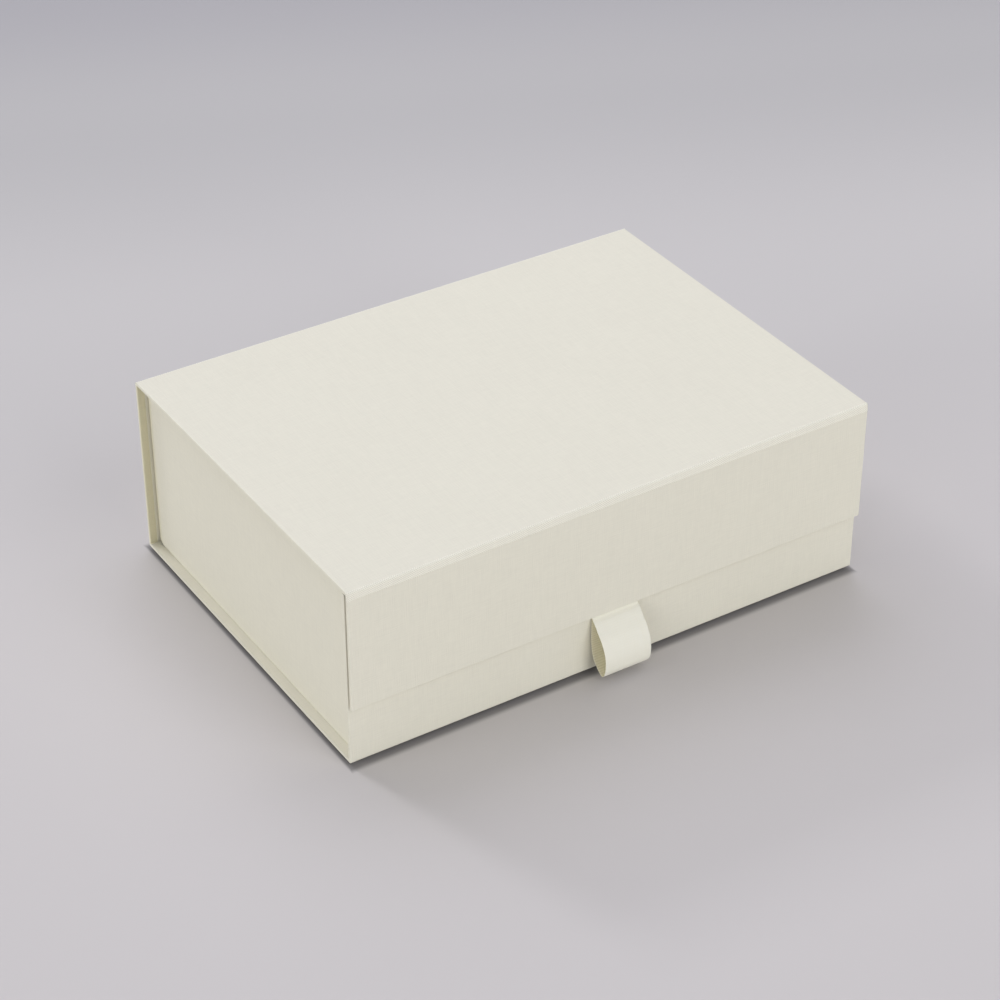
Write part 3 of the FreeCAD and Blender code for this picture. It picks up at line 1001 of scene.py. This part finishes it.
class GiftBox:
    """The whole box: its carried-over nodes with their finishes, its creases and its ribbon."""

    EDGE_PAPER = 0.2 * MM
    FLAP_FOLD_RADIUS = 0.9 * MM
    CREASED_BOARDS = {"lid_board": "Y", "flap_board": "Z", "back_board": "Z"}

    def __init__(self) -> None:
        """Lists the nodes by finish."""
        self.finish_of = {name: self.choose(name) for name in frame["nodes"]}

    @classmethod
    def choose(cls, name: str) -> Finish:
        """The finish of a node, from what it is.

        Args:
            name: The node's name.

        Returns:
            Its finish.
        """
        if name in FINISH_BY_NAME:
            return FINISH_BY_NAME[name]
        if name in cls.CREASED_BOARDS:
            axis = cls.CREASED_BOARDS[name]
            low, high = (corner["XYZ".index(axis)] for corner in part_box(name))
            bare = (low + cls.EDGE_PAPER, high - cls.EDGE_PAPER)
            return EdgedBoard("greyboard_" + name, axis=axis, bare=bare)
        if name.endswith("_board"):
            return GREYBOARD
        on_walls = "_side_" in name or "_ear_" in name
        if name.endswith("_lining"):
            return LINING_ON_WALLS if on_walls else LINING_ON_CASE
        return COVER_ON_SIDE if on_walls else COVER_ON_CASE

    def dress(self) -> None:
        """Gives every carried-over node its finish."""
        for name, finish in self.finish_of.items():
            slots = frame["nodes"][name].data.materials
            slots.clear()
            slots.append(finish.material())
            LOG.info("node %s carries %s", name, finish.name)

    def fold(self) -> None:
        """Makes the two creases in place of their nodes."""
        lid_low, lid_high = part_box("lid_crease")
        lid = PressedCrease("lid_crease_paper", "lid_crease", 1.0, lid_high.z - lid_low.z)
        flap = PressedCrease("flap_crease_paper", "flap_crease", -1.0, self.FLAP_FOLD_RADIUS)
        for crease, first, second in ((lid, "lid", "tray"), (flap, "lid", "flap")):
            piece = crease.build()
            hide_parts(crease.node)
            crease.section_point(0)
            crease.section_point(crease.turn)
            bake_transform(piece)

    def hang_ribbon(self) -> None:
        """Makes the ribbon in place of its nodes."""
        pull = RibbonPull()
        piece = pull.build()
        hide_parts("ribbon_loop", "ribbon_tails")
        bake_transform(piece)


@dataclass(frozen=True)
class PhotoCamera:
    """The camera where the box is seen from its front left corner, well above it."""

    place: Place = (-0.4839, -0.7677, 0.6466)
    aim: Place = (-0.00862, -0.01540, 0.0390)
    lens_mm: float = 99.72
    sensor_mm: float = 36.0
    roll_deg: float = -0.13
    clip: Pair = (0.01, 50.0)

    def build(self) -> None:
        """Makes the camera the scene's own."""
        data = bpy.data.cameras.new("photo_camera")
        data.lens = self.lens_mm
        data.sensor_width = self.sensor_mm
        data.clip_start, data.clip_end = self.clip
        camera = put("photo_camera", data)
        look = Vector(self.aim) - Vector(self.place)
        turn = look.to_track_quat("-Z", "Y").to_matrix().to_4x4()
        roll = Matrix.Rotation(math.radians(self.roll_deg), 4, "Z")
        camera.matrix_world = Matrix.Translation(self.place) @ turn @ roll
        bpy.context.scene.camera = camera


@dataclass(frozen=True)
class SoftLamp:
    """A square studio lamp that is aimed at the box."""

    name: str
    bearing_deg: float
    elevation_deg: float
    share: float
    size: float
    tint: Colour = (1.0, 1.0, 1.0)
    distance: float = 4.0
    aim: Place = (0.0, 0.0, 0.04)

    def build(self) -> None:
        """Hangs the lamp, whose share is of the light that shows a colour as it is written."""
        bearing = math.radians(self.bearing_deg)
        elevation = math.radians(self.elevation_deg)
        level = math.cos(elevation)
        toward = Vector((math.cos(bearing) * level, math.sin(bearing) * level, math.sin(elevation)))
        data = bpy.data.lights.new(self.name, "AREA")
        data.shape = "SQUARE"
        data.size = self.size
        data.energy = self.share * (math.pi * self.distance) ** 2
        data.color = self.tint
        lamp = put(self.name, data)
        lamp.visible_camera = False
        turn = (-toward).to_track_quat("-Z", "Y").to_matrix().to_4x4()
        lamp.matrix_world = Matrix.Translation(Vector(self.aim) + toward * self.distance) @ turn
        LOG.info("lamp %s", self.name)


@dataclass(frozen=True)
class StudioFloor(Finish):
    """A wide pale floor whose tone falls off slowly away from the camera, with a painted contact shadow under
    the box.
    """

    name: str = "studio_floor"
    half_size: float = 6.0
    below_box: float = 1.5 * MM
    # The painted contact shadow: its depth, and where it fades out past the base's edges across X and along
    # Y.
    contact_shade: float = 0.48
    contact_reach: tuple[Pair, Pair] = ((0.2 * MM, 1.6 * MM), (0.8 * MM, 4.0 * MM))
    far_bearing_deg: float = 68.0
    near: float = -0.05
    far: float = 0.60
    tones: tuple[tuple[float, Colour], ...] = (
        (0.0, srgb(203.5, 199.5, 196.5)),
        (0.40, srgb(202, 199, 196)),
        (0.72, srgb(186, 184, 182)),
        (1.0, srgb(172, 170, 171)),
    )
    roughness: float = 0.9

    def nodes(self, sketch: NodeSketch) -> Node:
        """Matt paint, toned along the way out from the camera, and darkened by a painted contact shadow where
        the box stands.
        """
        place = sketch.place()
        bearing = math.radians(self.far_bearing_deg)
        out = (math.cos(bearing), math.sin(bearing), 0)
        along = sketch.add("ShaderNodeVectorMath", {0: place, 1: out}, operation="DOT_PRODUCT")
        sockets = {"Value": along.outputs["Value"], "From Min": self.near, "From Max": self.far}
        share = sketch.add("ShaderNodeMapRange", sockets).outputs["Result"]
        ramp = sketch.add("ShaderNodeValToRGB", {"Fac": share})
        ramp.color_ramp.interpolation = "EASE"
        stops = ramp.color_ramp.elements
        while len(stops) < len(self.tones):
            stops.new(1.0)
        for stop, (position, tone) in zip(stops, self.tones):
            stop.position = position
            stop.color = (*tone, 1)
        toned = sketch.scaled(ramp.outputs[0], self.contact(sketch, place))
        return sketch.surface(toned, self.roughness, {"Specular IOR Level": 0.0})

    def contact(self, sketch: NodeSketch, place: object) -> Socket:
        """A painted contact shadow: how much darker the floor is painted where the box stands on it.

        Args:
            sketch: The material's tree.
            place: Where a point lies on the floor.

        Returns:
            The share of the floor's tone that the painted shadow leaves.
        """
        low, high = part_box("base_wrap")
        axes = sketch.axes(place)
        tones = []
        for axis, first, last, reach in zip("XY", low, high, self.contact_reach):
            from_middle = sketch.math("ABSOLUTE", sketch.math("SUBTRACT", axes[axis], (first + last) / 2))
            outside = sketch.math("SUBTRACT", from_middle, (last - first) / 2)
            tones.append(sketch.smooth(outside, *reach, self.contact_shade))
        return sketch.math("MAXIMUM", *tones)

    def build(self) -> None:
        """Lays the floor just under the base."""
        mesh = bpy.data.meshes.new(self.name)
        h = self.half_size
        corners = [(-h, -h), (h, -h), (h, h), (-h, h)]
        mesh.from_pydata([(x, y, -self.below_box) for x, y in corners], [], [(0, 1, 2, 3)])
        mesh.materials.append(self.material())
        floor = put(self.name, mesh)
        LOG.info("floor laid")


@dataclass(frozen=True)
class Studio:
    """Floor, soft lamps and an even surrounding light."""

    floor: StudioFloor = field(default_factory=StudioFloor)
    surround_share: float = 0.35
    surround_tint: Colour = (0.99, 1.0, 1.11)
    backdrop: Colour = srgb(186, 185, 189)
    lamps: tuple[SoftLamp, ...] = (
        SoftLamp("window_behind", 108, 31, 0.18, 0.62, tint=(1.0, 1.0, 1.06)),
        SoftLamp("softbox_above_back", 80, 50, 0.32, 3.4, tint=(1.0, 1.0, 1.14)),
        SoftLamp("softbox_overhead", 80, 68, 0.10, 3.4, tint=(1.0, 1.0, 1.06)),
        SoftLamp("softbox_left", 168, 9, 0.25, 1.6, tint=(0.99, 1.0, 0.98)),
        SoftLamp("softbox_left_front", 212, 9, 0.16, 1.8),
        SoftLamp("softbox_front", 279, 8, 0.27, 1.6, tint=(0.99, 1.0, 1.04)),
        SoftLamp("softbox_front_high", 286, 38, 0.21, 2.4, tint=(1.0, 1.0, 1.03)),
        SoftLamp("softbox_right", 22, 60, 0.09, 2.4),
    )

    def build(self) -> None:
        """Sets up the floor, the lamps and the surrounding light."""
        self.floor.build()
        for lamp in self.lamps:
            lamp.build()
        world = bpy.data.worlds.new("studio_surround")
        bpy.context.scene.world = world
        world.use_nodes = True
        sketch = NodeSketch(world.node_tree)
        lit, shown = (
            sketch.add("ShaderNodeBackground", {"Color": colour, "Strength": strength}).outputs[0]
            for colour, strength in ((self.surround_tint, self.surround_share), (self.backdrop, 1.0))
        )
        path = sketch.add("ShaderNodeLightPath").outputs
        seen = sketch.math("MAXIMUM", path["Is Camera Ray"], path["Is Glossy Ray"])
        seen = sketch.math("MAXIMUM", seen, path["Is Transmission Ray"])
        mixed = sketch.add("ShaderNodeMixShader", {0: seen, 1: lit, 2: shown})
        sketch.add("ShaderNodeOutputWorld", {"Surface": mixed.outputs[0]})
        bpy.context.scene.view_settings.view_transform = "Standard"


def main() -> None:
    """Builds the camera, the studio and the box, in that order."""
    logging.basicConfig(level=logging.INFO, format="%(message)s")
    PhotoCamera().build()
    Studio().build()
    box = GiftBox()
    box.dress()
    box.fold()
    box.hang_ribbon()


if __name__ == "__main__":
    main()
